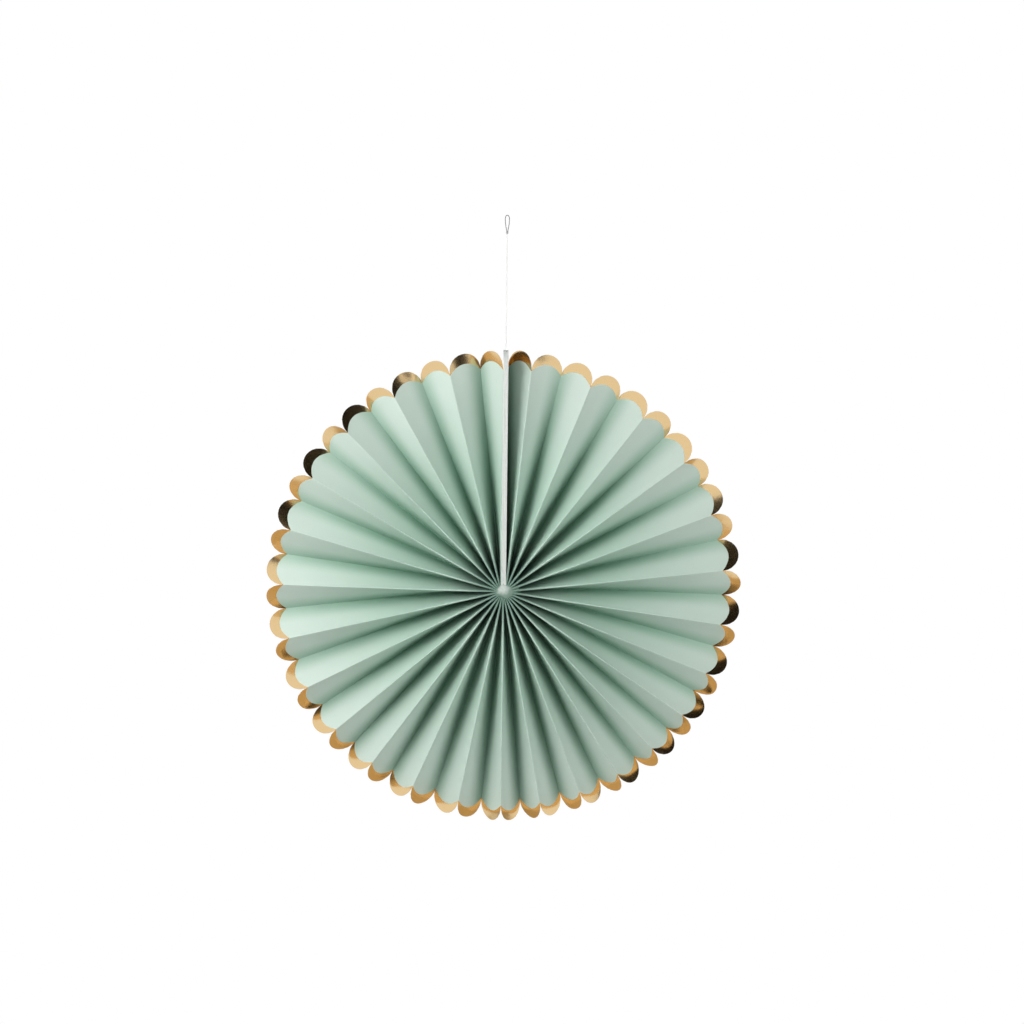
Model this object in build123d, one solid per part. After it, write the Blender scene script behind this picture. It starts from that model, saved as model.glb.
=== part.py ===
from build123d import *
import os
from math import asin, atan2, cos, degrees, exp, pi, radians, sin, sqrt

# A paper fan rosette: one strip of printed paper, folded like an accordion, opened to a full circle and
# closed by two stiff end cards, which are taped together and hold the thread that it hangs from.
# Frame: the hook's point inside the hanging loop is the origin, +Z is up and the front faces -Y.
# Lengths are in millimetres, and turns in degrees, clockwise from the seam as seen from the front.

# Folded sheet
fan_diameter = 305.0
panel_width = 23.0
scallop_height = 11.0
paper_thickness = 0.24
hub_radius = 3.5
fullness = 1.37  # length of paper over the length of the circle on which its scallops start

# How the folds are spread: wide beside the seam, tight opposite to it
fold_spread = 9.9
fold_lean = 1.0
fold_wave = 0.5
end_opening = 0.75  # the share of a panel's turn that the stiff cards leave to the panels beside them
pinch_turn = 1.2
pinch_place = 0.53
pinch_reach = 0.03

# Seam
card_thickness = 1.1
tape_thickness = 0.7
tape_inset = 1.5
tape_start = 12.0
thread_grip = 22.0

# Binding thread in the hub
tie_radius = 6.0
tie_diameter = 0.6
tie_clearance = 0.2

# Hanging thread, loop and knot
hang_length = 84.5  # from the hook to the tips of the end cards
thread_diameter = 0.6
loop_length = 10.0
loop_radius = 1.3
loop_knot_radius = 0.8
loop_knot_length = 2.0
loop_knot_chamfer = 0.25

# Fineness of the folded surface, and of the small round things, which have few flat sides
radial_steps = 8
radial_crowding = 1.5
hole_sides = 6
thread_sides = 8

fan_radius = fan_diameter / 2
cusp_radius = fan_radius - scallop_height
half_width = panel_width / 2
hub_height = -(hang_length + fan_radius)
card_inner = tape_thickness / 2
card_outer = card_inner + card_thickness
paper_outer = card_outer + paper_thickness
thread_start = hub_height + fan_radius - thread_grip

# An odd number of panels stands open, so that the strip starts at the back of one card and ends at the
# front of the other.
open_panels = 2 * round((fullness * 2 * pi * cusp_radius / panel_width - 1) / 2) + 1
radii = [
    hub_radius + (cusp_radius - hub_radius) * (step / radial_steps) ** radial_crowding
    for step in range(radial_steps + 1)
]


def rim_turn(fold):
    """The turn of an open fold where the scallops start."""
    share = (fold - 1 + end_opening) / (open_panels - 2 + 2 * end_opening)
    angle = 2 * pi * share
    pinch = pinch_turn * exp(-(((share - pinch_place) / pinch_reach) ** 2))
    uneven = fold_lean * (cos(angle) - cos(2 * angle)) - fold_wave * sin(2 * angle)
    return 360 * share + fold_spread * sin(angle) + uneven - pinch


def turn_at(fold, radius):
    """The turn of an open fold at a radius: the seam's thickness takes its share of the circle."""
    seam_turn = degrees(asin(paper_outer / radius))
    return seam_turn + (360 - 2 * seam_turn) * rim_turn(fold) / 360


def chord(first, last, radius):
    """The distance between two open folds at one radius."""
    return 2 * radius * sin(radians(turn_at(last, radius) - turn_at(first, radius)) / 2)


def fold_depth(fold, radius):
    """How far an open fold stands from the middle plane, so that its panels keep their width."""
    before = max(fold - 1, 1)
    after = min(fold + 1, open_panels - 1)
    width = chord(before, after, radius) / (after - before)
    return sqrt(panel_width**2 - width**2) / 2, width


def open_fold(fold, radius):
    """The front and back points of an open fold. Odd folds stand to the front, even ones to the back."""
    depth, width = fold_depth(fold, radius)
    web = min(paper_thickness * panel_width / width, depth)
    front = -depth if fold % 2 else depth - web
    turn = radians(turn_at(fold, radius))
    x, z = radius * sin(turn), hub_height + radius * cos(turn)
    return Vector(x, front, z), Vector(x, front + web, z)


def seam_folds(radius):
    """The front and back points of the folds at the right card's back and at the left card's front."""
    depth, _ = fold_depth(1, radius)
    width = radius * sin(radians(turn_at(1, radius))) - card_outer
    web = min(paper_thickness * (half_width + depth + panel_width) / width, half_width)
    z = hub_height + radius
    right = Vector(paper_outer, half_width - web, z), Vector(card_outer, half_width, z)
    left = Vector(-card_outer, -half_width, z), Vector(-paper_outer, web - half_width, z)
    return right, left


def free_edges(radius):
    """The front and back points of the strip's two cut ends, beside the cards."""
    z = hub_height + radius
    right = Vector(paper_outer, -half_width, z), Vector(card_outer, -half_width, z)
    left = Vector(-card_outer, half_width, z), Vector(-paper_outer, half_width, z)
    return right, left


def fold_lines():
    """The strip's fold lines in order, each with its front and back points from the hub to the scallops."""
    right_edge, left_edge = zip(*[free_edges(radius) for radius in radii])
    right_fold, left_fold = zip(*[seam_folds(radius) for radius in radii])
    opened = [[open_fold(fold, radius) for radius in radii] for fold in range(1, open_panels)]
    return [right_edge, right_fold, *opened, left_fold, left_edge]


def patch(a, b, c, d):
    """A twisted four-sided patch as two flat facets."""
    return [Face(Wire.make_polygon([a, b, c])), Face(Wire.make_polygon([a, c, d]))]


def scallop_arc(a, b, outward):
    return Edge.make_three_point_arc(a, (a + b) / 2 + outward * scallop_height, b)


def panel_faces(first, last):
    """Front, back, hub end and scalloped end of the panel between two fold lines."""
    faces = []
    for near, far in zip(range(radial_steps), range(1, radial_steps + 1)):
        for side in (0, 1):
            faces += patch(first[near][side], last[near][side], last[far][side], first[far][side])
    faces += patch(first[0][0], last[0][0], last[0][1], first[0][1])

    ends = [(first[-1][side], last[-1][side]) for side in (0, 1)]
    along = ends[0][1] - ends[0][0]
    flat = Vector(along.X, 0, along.Z)
    outward = Vector(-flat.Z, 0, flat.X).normalized() if flat.length > paper_thickness else Vector(0, 0, 1)
    arcs = [scallop_arc(a, b, outward) for a, b in ends]
    faces += [Face(Wire([Edge.make_line(a, b), arc])) for (a, b), arc in zip(ends, arcs)]
    faces.append(Face.make_surface_from_curves(*arcs))
    return faces


def cut_end_faces(line):
    """The narrow cut face along one of the strip's two ends."""
    faces = []
    for near, far in zip(range(radial_steps), range(1, radial_steps + 1)):
        faces += patch(line[near][0], line[near][1], line[far][1], line[far][0])
    return faces


def tie_hole(turn, length):
    """A punch for the binding thread's hole, across the circle that the thread takes round the hub."""
    angle = radians(turn)
    centre = Vector(tie_radius * sin(angle), 0, hub_height + tie_radius * cos(angle))
    along = Vector(cos(angle), 0, -sin(angle))
    outline = RegularPolygon(tie_diameter / 2 + tie_clearance, hole_sides, major_radius=False)
    return extrude(Plane(centre, z_dir=along) * outline, amount=length / 2, both=True)


def seam_holes():
    """Punches through each end card and the end panel on it."""
    length = card_thickness + paper_thickness
    turn = degrees(asin((card_inner + length / 2) / tie_radius))
    return [tie_hole(turn, length + tie_diameter), tie_hole(-turn, length + tie_diameter)]


def panel_holes():
    """Punches through the open panels, each halfway between its two folds."""
    seam_turn = degrees(asin(card_outer / tie_radius))
    inner = [turn_at(fold, tie_radius) for fold in range(1, open_panels)]
    turns = [seam_turn, *inner, 360 - seam_turn]
    pairs = zip(turns, turns[1:])
    return [tie_hole((first + last) / 2, radians(last - first) * tie_radius) for first, last in pairs]


def pleated_fan():
    """The folded strip, closed at its scallops, at the hub and at its two cut ends, with the tie's holes."""
    lines = fold_lines()
    faces = [face for pair in zip(lines, lines[1:]) for face in panel_faces(*pair)]
    faces += cut_end_faces(lines[0]) + cut_end_faces(lines[-1])
    return Solid(Shell(faces)) - seam_holes() - panel_holes()


def end_card(side):
    """A stiff card with the outline of one panel, on the right (1) or the left (-1) of the tape."""
    start, cusp = hub_height + hub_radius, hub_height + cusp_radius
    tip = cusp + scallop_height
    corners = [(0, -half_width, cusp), (0, -half_width, start), (0, half_width, start), (0, half_width, cusp)]
    outline = Polyline(*corners) + ThreePointArc(corners[-1], (0, 0, tip), corners[0])
    card = extrude(make_face(outline), amount=card_thickness, dir=(side, 0, 0))
    return Pos(side * card_inner, 0, 0) * card - seam_holes()


def seam_tape():
    """Double-sided tape between the cards, up to the thread that they grip."""
    start = hub_height + tape_start
    length = thread_start - start
    align = (Align.CENTER, Align.CENTER, Align.MIN)
    return Pos(0, 0, start) * Box(tape_thickness, panel_width - 2 * tape_inset, length, align=align)


def centre_tie():
    """Binding thread: a ring through every panel and both cards, which gathers the strip's inner edge."""
    section = Plane.XZ * Pos(tie_radius, 0) * RegularPolygon(tie_diameter / 2, thread_sides)
    return Pos(0, 0, hub_height) * Rot(90, 0, 0) * revolve(section, Axis.Z)


def loop_route(foot):
    """One side of the loop up, round the hook and down the other side, with both feet on the knot."""
    centre = thread_diameter / 2 - loop_radius
    rise, run = centre - foot, thread_diameter / 2
    reach = sqrt(rise**2 + run**2)
    lean = asin(loop_radius / reach) - atan2(run, rise)
    touch = Vector(-loop_radius * cos(lean), 0, centre - loop_radius * sin(lean))
    top = Vector(0, 0, centre + loop_radius)
    left, right = Vector(-run, 0, foot), Vector(run, 0, foot)
    other = Vector(-touch.X, 0, touch.Z)
    return Line(left, touch) + ThreePointArc(touch, top, other) + Line(other, right)


def hanging_thread():
    """One thread: gripped between the cards, straight up to a knot, and a small loop above it."""
    knot_top = thread_diameter / 2 - loop_length
    knot_foot = knot_top - loop_knot_length
    section = RegularPolygon(thread_diameter / 2, thread_sides)
    straight = Pos(0, 0, thread_start) * extrude(section, amount=knot_foot - thread_start)
    knot_section = RegularPolygon(loop_knot_radius, thread_sides)
    knot = Pos(0, 0, knot_foot) * extrude(knot_section, amount=loop_knot_length)
    knot = chamfer(knot.faces().filter_by(Axis.Z).edges(), loop_knot_chamfer)
    route = loop_route(knot_top - thread_diameter / 2)
    loop = sweep(Plane(route @ 0, x_dir=(0, 1, 0), z_dir=route % 0) * section, path=route)
    share = loop.volume / (section.area * route.length)
    print(f"loop radius {loop_radius}, loop volume over its section times its length {share:.4f}")
    return straight + knot + loop


nodes = {
    "pleated_fan": pleated_fan(),
    "end_card_left": end_card(-1),
    "end_card_right": end_card(1),
    "seam_tape": seam_tape(),
    "centre_tie": centre_tie(),
    "hanging_thread": hanging_thread(),
}
os.makedirs("parts", exist_ok=True)
for name, solid in nodes.items():
    solid.label = name
    export_step(solid, f"parts/{name}.step")
print(f"{open_panels} open panels, strip {(open_panels + 2) * panel_width} x {fan_radius - hub_radius}")
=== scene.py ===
"""Looks of a hanging paper fan rosette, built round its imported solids.

The folded strip, the end cards and the threads are modelled here as finer pieces in the solids' own frame:
metres, +Z up along the hanging thread, and the front towards -Y.
"""

import logging
import math
import random
from collections.abc import Sequence
from dataclasses import dataclass
from enum import Enum

import bpy
import numpy as np
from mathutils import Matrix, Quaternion, Vector, noise


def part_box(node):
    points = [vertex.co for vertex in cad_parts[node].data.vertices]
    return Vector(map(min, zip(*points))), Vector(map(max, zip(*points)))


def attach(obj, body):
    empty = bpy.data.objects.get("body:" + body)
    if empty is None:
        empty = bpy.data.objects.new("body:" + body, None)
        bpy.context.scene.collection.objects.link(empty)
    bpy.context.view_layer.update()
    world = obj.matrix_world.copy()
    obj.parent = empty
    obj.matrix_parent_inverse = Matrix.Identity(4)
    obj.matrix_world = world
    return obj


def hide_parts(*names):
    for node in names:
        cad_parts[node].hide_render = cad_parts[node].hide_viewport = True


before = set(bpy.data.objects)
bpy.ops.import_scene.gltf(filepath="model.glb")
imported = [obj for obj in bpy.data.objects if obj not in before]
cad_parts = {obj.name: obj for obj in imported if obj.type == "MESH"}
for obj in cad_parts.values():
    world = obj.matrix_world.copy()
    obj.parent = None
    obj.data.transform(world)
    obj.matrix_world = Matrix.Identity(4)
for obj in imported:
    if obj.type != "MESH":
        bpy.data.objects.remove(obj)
log = logging.getLogger("paper_fan")

Colour = tuple[float, float, float, float]
Span = tuple[float, float]
NodeInput = bpy.types.NodeSocket | Colour | float
MILLIMETRES = 1000.0


class Side(Enum):
    """The two sides of the seam, as seen from the front."""

    LEFT = -1
    RIGHT = 1


class PaperFace(Enum):
    """The material slots of the folded strip."""

    FRONT = 0
    BACK = 1
    CUT_EDGE = 2


# Small helpers for operators and curves


def deselect_all() -> None:
    """Leave edit mode and deselect every object."""
    if bpy.context.object and bpy.context.object.mode != "OBJECT":
        bpy.ops.object.mode_set(mode="OBJECT")
    bpy.ops.object.select_all(action="DESELECT")


def activate(piece: bpy.types.Object) -> None:
    """Make one object the only selected one, and the active one.

    Args:
        piece: The object.
    """
    deselect_all()
    piece.select_set(True)
    bpy.context.view_layer.objects.active = piece


def apply_modifier(piece: bpy.types.Object, modifier: bpy.types.Modifier) -> None:
    """Apply a modifier of a piece."""
    activate(piece)
    bpy.ops.object.modifier_apply(modifier=modifier.name)


def smooth_by_angle(piece: bpy.types.Object, degrees: float) -> None:
    """Shade a piece smooth, with sharp edges past an angle."""
    activate(piece)
    bpy.ops.object.shade_smooth_by_angle(angle=math.radians(degrees))


def dress(piece: bpy.types.Object, *materials: bpy.types.Material) -> None:
    """Give a piece its materials.

    Args:
        piece: The piece.
        materials: Its materials, in slot order.
    """
    piece.data.materials.clear()
    for material in materials:
        piece.data.materials.append(material)


def hand_over(piece: bpy.types.Object, slot: str, *nodes: str) -> None:
    """Let a finished piece ride on the object and stand for its solids.

    Args:
        piece: The finished piece.
        slot: Not used.
        nodes: The solids that the piece stands for.
    """
    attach(piece, "root")
    if nodes:
        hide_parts(*nodes)
    log.info("%s: %d vertices", piece.name, len(piece.data.vertices))


def new_curve(name: str) -> bpy.types.Curve:
    """Start an empty curve in space.

    Args:
        name: The curve's name.

    Returns:
        The curve.
    """
    curve = bpy.data.curves.new(name, "CURVE")
    curve.dimensions = "3D"
    return curve


def add_spline(curve: bpy.types.Curve, kind: str, points: Sequence[Vector]) -> bpy.types.Spline:
    """Add a spline to a curve.

    Args:
        curve: The curve.
        kind: The spline's type.
        points: The spline's points.

    Returns:
        The spline.
    """
    spline = curve.splines.new(kind)
    spline.points.add(len(points) - 1)
    for place, point in zip(spline.points, points):
        place.co = (*point, 1)
    return spline


def carry(curve: bpy.types.Curve) -> bpy.types.Object:
    """Put a curve into the scene.

    Args:
        curve: The curve.

    Returns:
        A new object that carries it.
    """
    carrier = bpy.data.objects.new(curve.name, curve)
    bpy.context.scene.collection.objects.link(carrier)
    return carrier


def smooth_route(name: str, points: Sequence[Vector]) -> np.ndarray:
    """The points of a smooth line past some control points.

    Args:
        name: A name for the line while it is made.
        points: The route's points.

    Returns:
        Points along the line.
    """
    curve = new_curve(name)
    curve.resolution_u = 24
    spline = add_spline(curve, "NURBS", points)
    spline.order_u = 3
    spline.use_endpoint_u = True
    carrier = carry(curve)
    mesh = bpy.data.meshes.new_from_object(carrier)
    line = np.array([vertex.co[:] for vertex in mesh.vertices])
    bpy.data.objects.remove(carrier)
    bpy.data.meshes.remove(mesh)
    return line


class Graph:
    """The node tree of one material, with short calls to add and join nodes."""

    def __init__(self, name: str) -> None:
        """Start an empty material.

        Args:
            name: The material's name.
        """
        self.material = bpy.data.materials.new(name)
        self.material.use_nodes = True
        self.nodes = self.material.node_tree.nodes
        self.links = self.material.node_tree.links
        self.nodes.clear()

    def put(self, socket: bpy.types.NodeSocket, value: NodeInput) -> None:
        """Link a socket to an output, or set its value.

        Args:
            socket: An input of a node.
            value: The output, or the value.
        """
        if isinstance(value, bpy.types.NodeSocket):
            self.links.new(value, socket)
        else:
            socket.default_value = value

    def node(
        self, kind: str, inputs: dict[str | int, NodeInput] | None = None, **settings: object
    ) -> bpy.types.Node:
        """Add a node.

        Args:
            kind: The node's type, without the word that all shader nodes start with.
            inputs: Values or outputs for its inputs, by name or number.
            settings: The node's own settings.

        Returns:
            The node.
        """
        made = self.nodes.new("ShaderNode" + kind)
        for key, value in settings.items():
            setattr(made, key, value)
        for key, value in (inputs or {}).items():
            self.put(made.inputs[key], value)
        return made

    def place(self) -> bpy.types.NodeSocket:
        """Return the place on the piece, in metres."""
        return self.node("TexCoord").outputs["Object"]

    def math(self, operation: str, *values: NodeInput) -> bpy.types.NodeSocket:
        """Add a Math node and return its output."""
        inputs: dict[str | int, NodeInput] = dict(enumerate(values))
        return self.node("Math", inputs, operation=operation).outputs[0]

    def ramp(
        self, value: NodeInput, low: float, high: float, start: float = 0.0, end: float = 1.0
    ) -> bpy.types.NodeSocket:
        """Map a value smoothly from one range to another and return the output."""
        inputs = {"Value": value, "From Min": low, "From Max": high, "To Min": start, "To Max": end}
        return self.node("MapRange", inputs, interpolation_type="SMOOTHSTEP").outputs["Result"]

    def mix(self, factor: NodeInput, first: NodeInput, second: NodeInput) -> bpy.types.NodeSocket:
        """Mix two colours and return the output."""
        return self.node("Mix", {"Factor": factor, 6: first, 7: second}, data_type="RGBA").outputs[2]

    def noise(self, vector: NodeInput, scale: float, detail: float = 3.0) -> bpy.types.NodeSocket:
        """Add a noise pattern and return its value."""
        return self.node("TexNoise", {"Vector": vector, "Scale": scale, "Detail": detail}).outputs["Fac"]

    def bump(
        self, height: NodeInput, strength: float, distance: float, below: bpy.types.NodeSocket | None = None
    ) -> bpy.types.NodeSocket:
        """Add a bump layer.

        Args:
            height: The pattern that stands out.
            strength: How much of it shows.
            distance: How far it stands out.
            below: The normal of the layer below, if there is one.

        Returns:
            The layer's normal.
        """
        made = self.node("Bump", {"Height": height, "Strength": strength, "Distance": distance})
        if below is not None:
            self.put(made.inputs["Normal"], below)
        return made.outputs["Normal"]

    def surface(self, inputs: dict[str, NodeInput]) -> bpy.types.Material:
        """Finish the material with one surface shader.

        Args:
            inputs: The shader's inputs.

        Returns:
            The material.
        """
        shader = self.node("BsdfPrincipled", inputs)
        self.node("OutputMaterial", {"Surface": shader.outputs[0]})
        return self.material


# The fold


@dataclass(frozen=True)
class FoldPlan:
    """How the strip is folded: metres, and degrees clockwise from the seam as seen from the front."""

    hub_height: float
    fan_diameter: float = 0.305
    panel_width: float = 0.023
    scallop_height: float = 0.011
    paper_thickness: float = 0.00024
    hub_radius: float = 0.0035
    fullness: float = 1.37
    fold_spread: float = 9.9
    fold_lean: float = 1.0
    fold_wave: float = 0.5
    end_opening: float = 0.75
    pinch_turn: float = 1.2
    pinch_place: float = 0.53
    pinch_reach: float = 0.03
    card_thickness: float = 0.0011
    tape_thickness: float = 0.0007

    @property
    def fan_radius(self) -> float:
        """From the hub's middle to the scallops' tips."""
        return self.fan_diameter / 2

    @property
    def cusp_radius(self) -> float:
        """From the hub's middle to where the scallops start."""
        return self.fan_radius - self.scallop_height

    @property
    def strip_height(self) -> float:
        """From the strip's inner edge to its scallops' tips."""
        return self.fan_radius - self.hub_radius

    @property
    def straight_height(self) -> float:
        """From the strip's inner edge to where its scallops start."""
        return self.cusp_radius - self.hub_radius

    @property
    def half_width(self) -> float:
        """Half a panel's width."""
        return self.panel_width / 2

    @property
    def scallop_curve(self) -> float:
        """The radius of a scallop's arc."""
        return (self.half_width**2 + self.scallop_height**2) / (2 * self.scallop_height)

    @property
    def card_middle(self) -> float:
        """From the seam's middle to the middle of a card."""
        return (self.tape_thickness + self.card_thickness) / 2

    @property
    def card_outer(self) -> float:
        """From the seam's middle to the outside of a card."""
        return self.tape_thickness / 2 + self.card_thickness

    @property
    def open_panels(self) -> int:
        """The panels that stand open, an odd number."""
        around = 2 * math.pi * self.cusp_radius
        return 2 * round((self.fullness * around / self.panel_width - 1) / 2) + 1

    @property
    def panels(self) -> int:
        """All panels, with the two that are glued to the cards."""
        return self.open_panels + 2

    def rim_turn(self, fold: int) -> float:
        """The turn of an open fold where the scallops start.

        Args:
            fold: The fold's number, from 1.

        Returns:
            Its turn in degrees.
        """
        share = (fold - 1 + self.end_opening) / (self.open_panels - 2 + 2 * self.end_opening)
        angle = 2 * math.pi * share
        pinch = self.pinch_turn * math.exp(-(((share - self.pinch_place) / self.pinch_reach) ** 2))
        lean = self.fold_lean * (math.cos(angle) - math.cos(2 * angle))
        uneven = lean - self.fold_wave * math.sin(2 * angle)
        return 360 * share + self.fold_spread * math.sin(angle) + uneven - pinch

    def turn_at(self, fold: int, radius: np.ndarray) -> np.ndarray:
        """The turns of an open fold at some radii, in radians: the seam's thickness takes its share."""
        seam_turn = np.arcsin((self.card_outer + self.paper_thickness) / radius)
        return seam_turn + (2 * math.pi - 2 * seam_turn) * self.rim_turn(fold) / 360

    def depth_at(self, fold: int, radius: np.ndarray) -> np.ndarray:
        """How far an open fold stands from the middle plane, so that its panels keep their width.

        Args:
            fold: The fold's number, from 1.
            radius: Distances from the hub's middle.

        Returns:
            One depth for each radius.
        """
        before, after = max(fold - 1, 1), min(fold + 1, self.open_panels - 1)
        turn = self.turn_at(after, radius) - self.turn_at(before, radius)
        width = 2 * radius * np.sin(turn / 2) / (after - before)
        return (np.sqrt(self.panel_width**2 - width**2) - self.paper_thickness) / 2

    def fold_line(self, line: int, radius: np.ndarray) -> np.ndarray:
        """Points of one fold line, in the middle of the paper.

        Args:
            line: 0 and the last are the strip's cut ends, and the lines beside them the folds at the cards.
            radius: Distances from the hub's middle.

        Returns:
            One row of x, y and z for each radius.
        """
        last = self.panels
        if 1 < line < last - 1:
            fold = line - 1
            turn = self.turn_at(fold, radius)
            depth = self.depth_at(fold, radius)
            across = -depth if fold % 2 else depth
            return np.stack([radius * np.sin(turn), across, self.hub_height + radius * np.cos(turn)], axis=1)
        side = Side.RIGHT if line <= 1 else Side.LEFT
        at_front = line in (0, last - 1)
        beside = side.value * (self.card_outer + self.paper_thickness / 2)
        across = (-1 if at_front else 1) * (self.half_width - self.paper_thickness / 2)
        flat = np.ones_like(radius)
        return np.stack([beside * flat, across * flat, self.hub_height + radius], axis=1)

    def scallop(self, share: float) -> float:
        """How far the scalloped edge stands out at a share of the panel's width."""
        curve, aside = self.scallop_curve, self.panel_width * (share - 0.5)
        return math.sqrt(max(curve**2 - aside**2, 0.0)) + self.scallop_height - curve


# Finishes


class FlatPlaces:
    """Places on the flat strip, read from its UV map, and the paper's fibres there."""

    fibre_scale: float = 1.6

    def __init__(self, graph: Graph, plan: FoldPlan) -> None:
        """Add the nodes that read the map.

        Args:
            graph: The material's nodes.
            plan: The fold.
        """
        length = MILLIMETRES * plan.strip_height
        flat = graph.node("UVMap", uv_map="UVMap").outputs["UV"]
        axes = graph.node("SeparateXYZ", {"Vector": flat})
        self.across, self.outward = axes.outputs["X"], axes.outputs["Y"]
        sides = (MILLIMETRES * plan.panel_width * plan.panels, length, 0)
        self.millimetres = graph.node("VectorMath", {0: flat, 1: sides}, operation="MULTIPLY").outputs[0]
        share = graph.math("FRACT", graph.math("MULTIPLY", self.across, float(plan.panels)))
        self.aside = graph.math("MULTIPLY_ADD", share, 2.0, -1.0)
        self.height = graph.math("MULTIPLY", self.outward, length)
        self.fibre = graph.noise(self.millimetres, self.fibre_scale, 5.0)


@dataclass(frozen=True)
class SagePaper:
    """Sage paper, with painted light paler at the rim, painted shade darker in the hub and towards its
    valley folds, and paler crease lines of wear and painted highlight: the strip's plain side.

    A span is a part of the strip's height, which goes from 0 at the hub to 1 at the tips.
    """

    plan: FoldPlan
    sage: Colour = (0.408, 0.553, 0.466, 1)
    # painted light: the paper is drawn paler towards the rim
    painted_rim_light: Colour = (0.50, 0.592, 0.53, 1)
    rim_light_span: Span = (0.3, 0.9)
    # painted shade: the paper is drawn darker and greener towards the hub
    painted_hub_shade: Colour = (0.135, 0.225, 0.18, 1)
    hub_shade_span: Span = (0.02, 0.22)
    # painted shade: dark green towards the valley folds, weaker at the rim
    painted_valley_shade: Colour = (0.02, 0.24, 0.11, 1)
    valley_shade: float = 0.45
    valley_reach: float = 0.55
    valley_span: Span = (0.4, 1.0)
    valley_rim_share: float = 0.7
    # partly wear and partly a painted highlight: paler lines along the creases
    crest_wear_and_highlight: Colour = (0.455, 0.58, 0.51, 1)
    crest_width: float = 0.6
    crest_share: float = 0.35
    cloud_tint: Colour = (0.37, 0.53, 0.44, 1)
    cloud_scale: float = 0.03
    fibre_tint: Colour = (0.54, 0.68, 0.59, 1)
    tint_share: float = 0.10
    cockle_scale: float = 0.22
    roughness: float = 0.38
    roughness_spread: float = 0.06

    def make(self) -> bpy.types.Material:
        """Build the material and return it."""
        graph = Graph("plain_paper")
        return graph.surface(self.sheet(graph, FlatPlaces(graph, self.plan), PaperFace.BACK))

    def sheet(self, graph: Graph, strip: FlatPlaces, side: PaperFace) -> dict[str, NodeInput]:
        """Lay the bare paper out.

        Args:
            graph: The material's nodes.
            strip: The places on the flat strip.
            side: The side of the paper.

        Returns:
            The shader's inputs.
        """
        # painted light: paler towards the rim
        tone = graph.mix(graph.ramp(strip.outward, *self.rim_light_span), self.sage, self.painted_rim_light)
        cloud = graph.noise(strip.millimetres, self.cloud_scale, 2.0)
        tone = graph.mix(graph.ramp(cloud, 0.3, 0.7, 0.0, self.tint_share), tone, self.cloud_tint)
        tone = graph.mix(graph.ramp(strip.fibre, 0.35, 0.7, 0.0, self.tint_share), tone, self.fibre_tint)
        # paler crease lines: wear and a painted highlight
        tone = graph.mix(self.crest_wear_and_highlight_mask(graph, strip), tone, self.crest_wear_and_highlight)
        # painted shade: darker towards the valley folds
        tone = graph.mix(self.painted_valley_shade_mask(graph, strip, side), tone, self.painted_valley_shade)
        # painted shade: darker towards the hub
        tone = graph.mix(graph.ramp(strip.outward, *self.hub_shade_span, 1.0, 0.0), tone, self.painted_hub_shade)
        smoothest, roughest = self.roughness - self.roughness_spread, self.roughness + self.roughness_spread
        rough = graph.ramp(strip.fibre, 0.2, 0.8, smoothest, roughest)
        normal = graph.bump(strip.fibre, 0.12, 0.00003)
        cockle = graph.noise(strip.millimetres, self.cockle_scale, 2.0)
        normal = graph.bump(cockle, 0.25, 0.0002, normal)
        return {"Base Color": tone, "Roughness": rough, "Normal": normal, "IOR": 1.45}

    def painted_valley_shade_mask(self, graph: Graph, strip: FlatPlaces, side: PaperFace) -> bpy.types.NodeSocket:
        """The painted shade, darker towards the folds that stand away from one side.

        Args:
            graph: The material's nodes.
            strip: The places on the flat strip.
            side: The side of the paper.

        Returns:
            The painted shade's mask.
        """
        pair = graph.math("MULTIPLY", strip.across, self.plan.panels / 2)
        away = graph.math("ABSOLUTE", graph.math("MULTIPLY_ADD", graph.math("FRACT", pair), 2.0, -1.0))
        if side is PaperFace.FRONT:
            mask = graph.ramp(away, 0.0, self.valley_reach, 1.0, 0.0)
        else:
            mask = graph.ramp(away, 1 - self.valley_reach, 1.0)
        rim_valley_shade = self.valley_rim_share * self.valley_shade
        tone = graph.ramp(strip.outward, *self.valley_span, self.valley_shade, rim_valley_shade)
        return graph.math("MULTIPLY", mask, tone)

    def crest_wear_and_highlight_mask(self, graph: Graph, strip: FlatPlaces) -> bpy.types.NodeSocket:
        """The paler line along each crease: partly wear from folding, partly a painted highlight.

        Args:
            graph: The material's nodes.
            strip: The places on the flat strip.

        Returns:
            The line's mask.
        """
        away = graph.math("SUBTRACT", 1.0, graph.math("ABSOLUTE", strip.aside))
        away = graph.math("MULTIPLY", away, MILLIMETRES * self.plan.half_width)
        line = graph.ramp(away, 0.0, self.crest_width, 1.0, 0.0)
        return graph.math("MULTIPLY", line, graph.ramp(strip.fibre, 0.25, 0.6, 0.0, self.crest_share))


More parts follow.
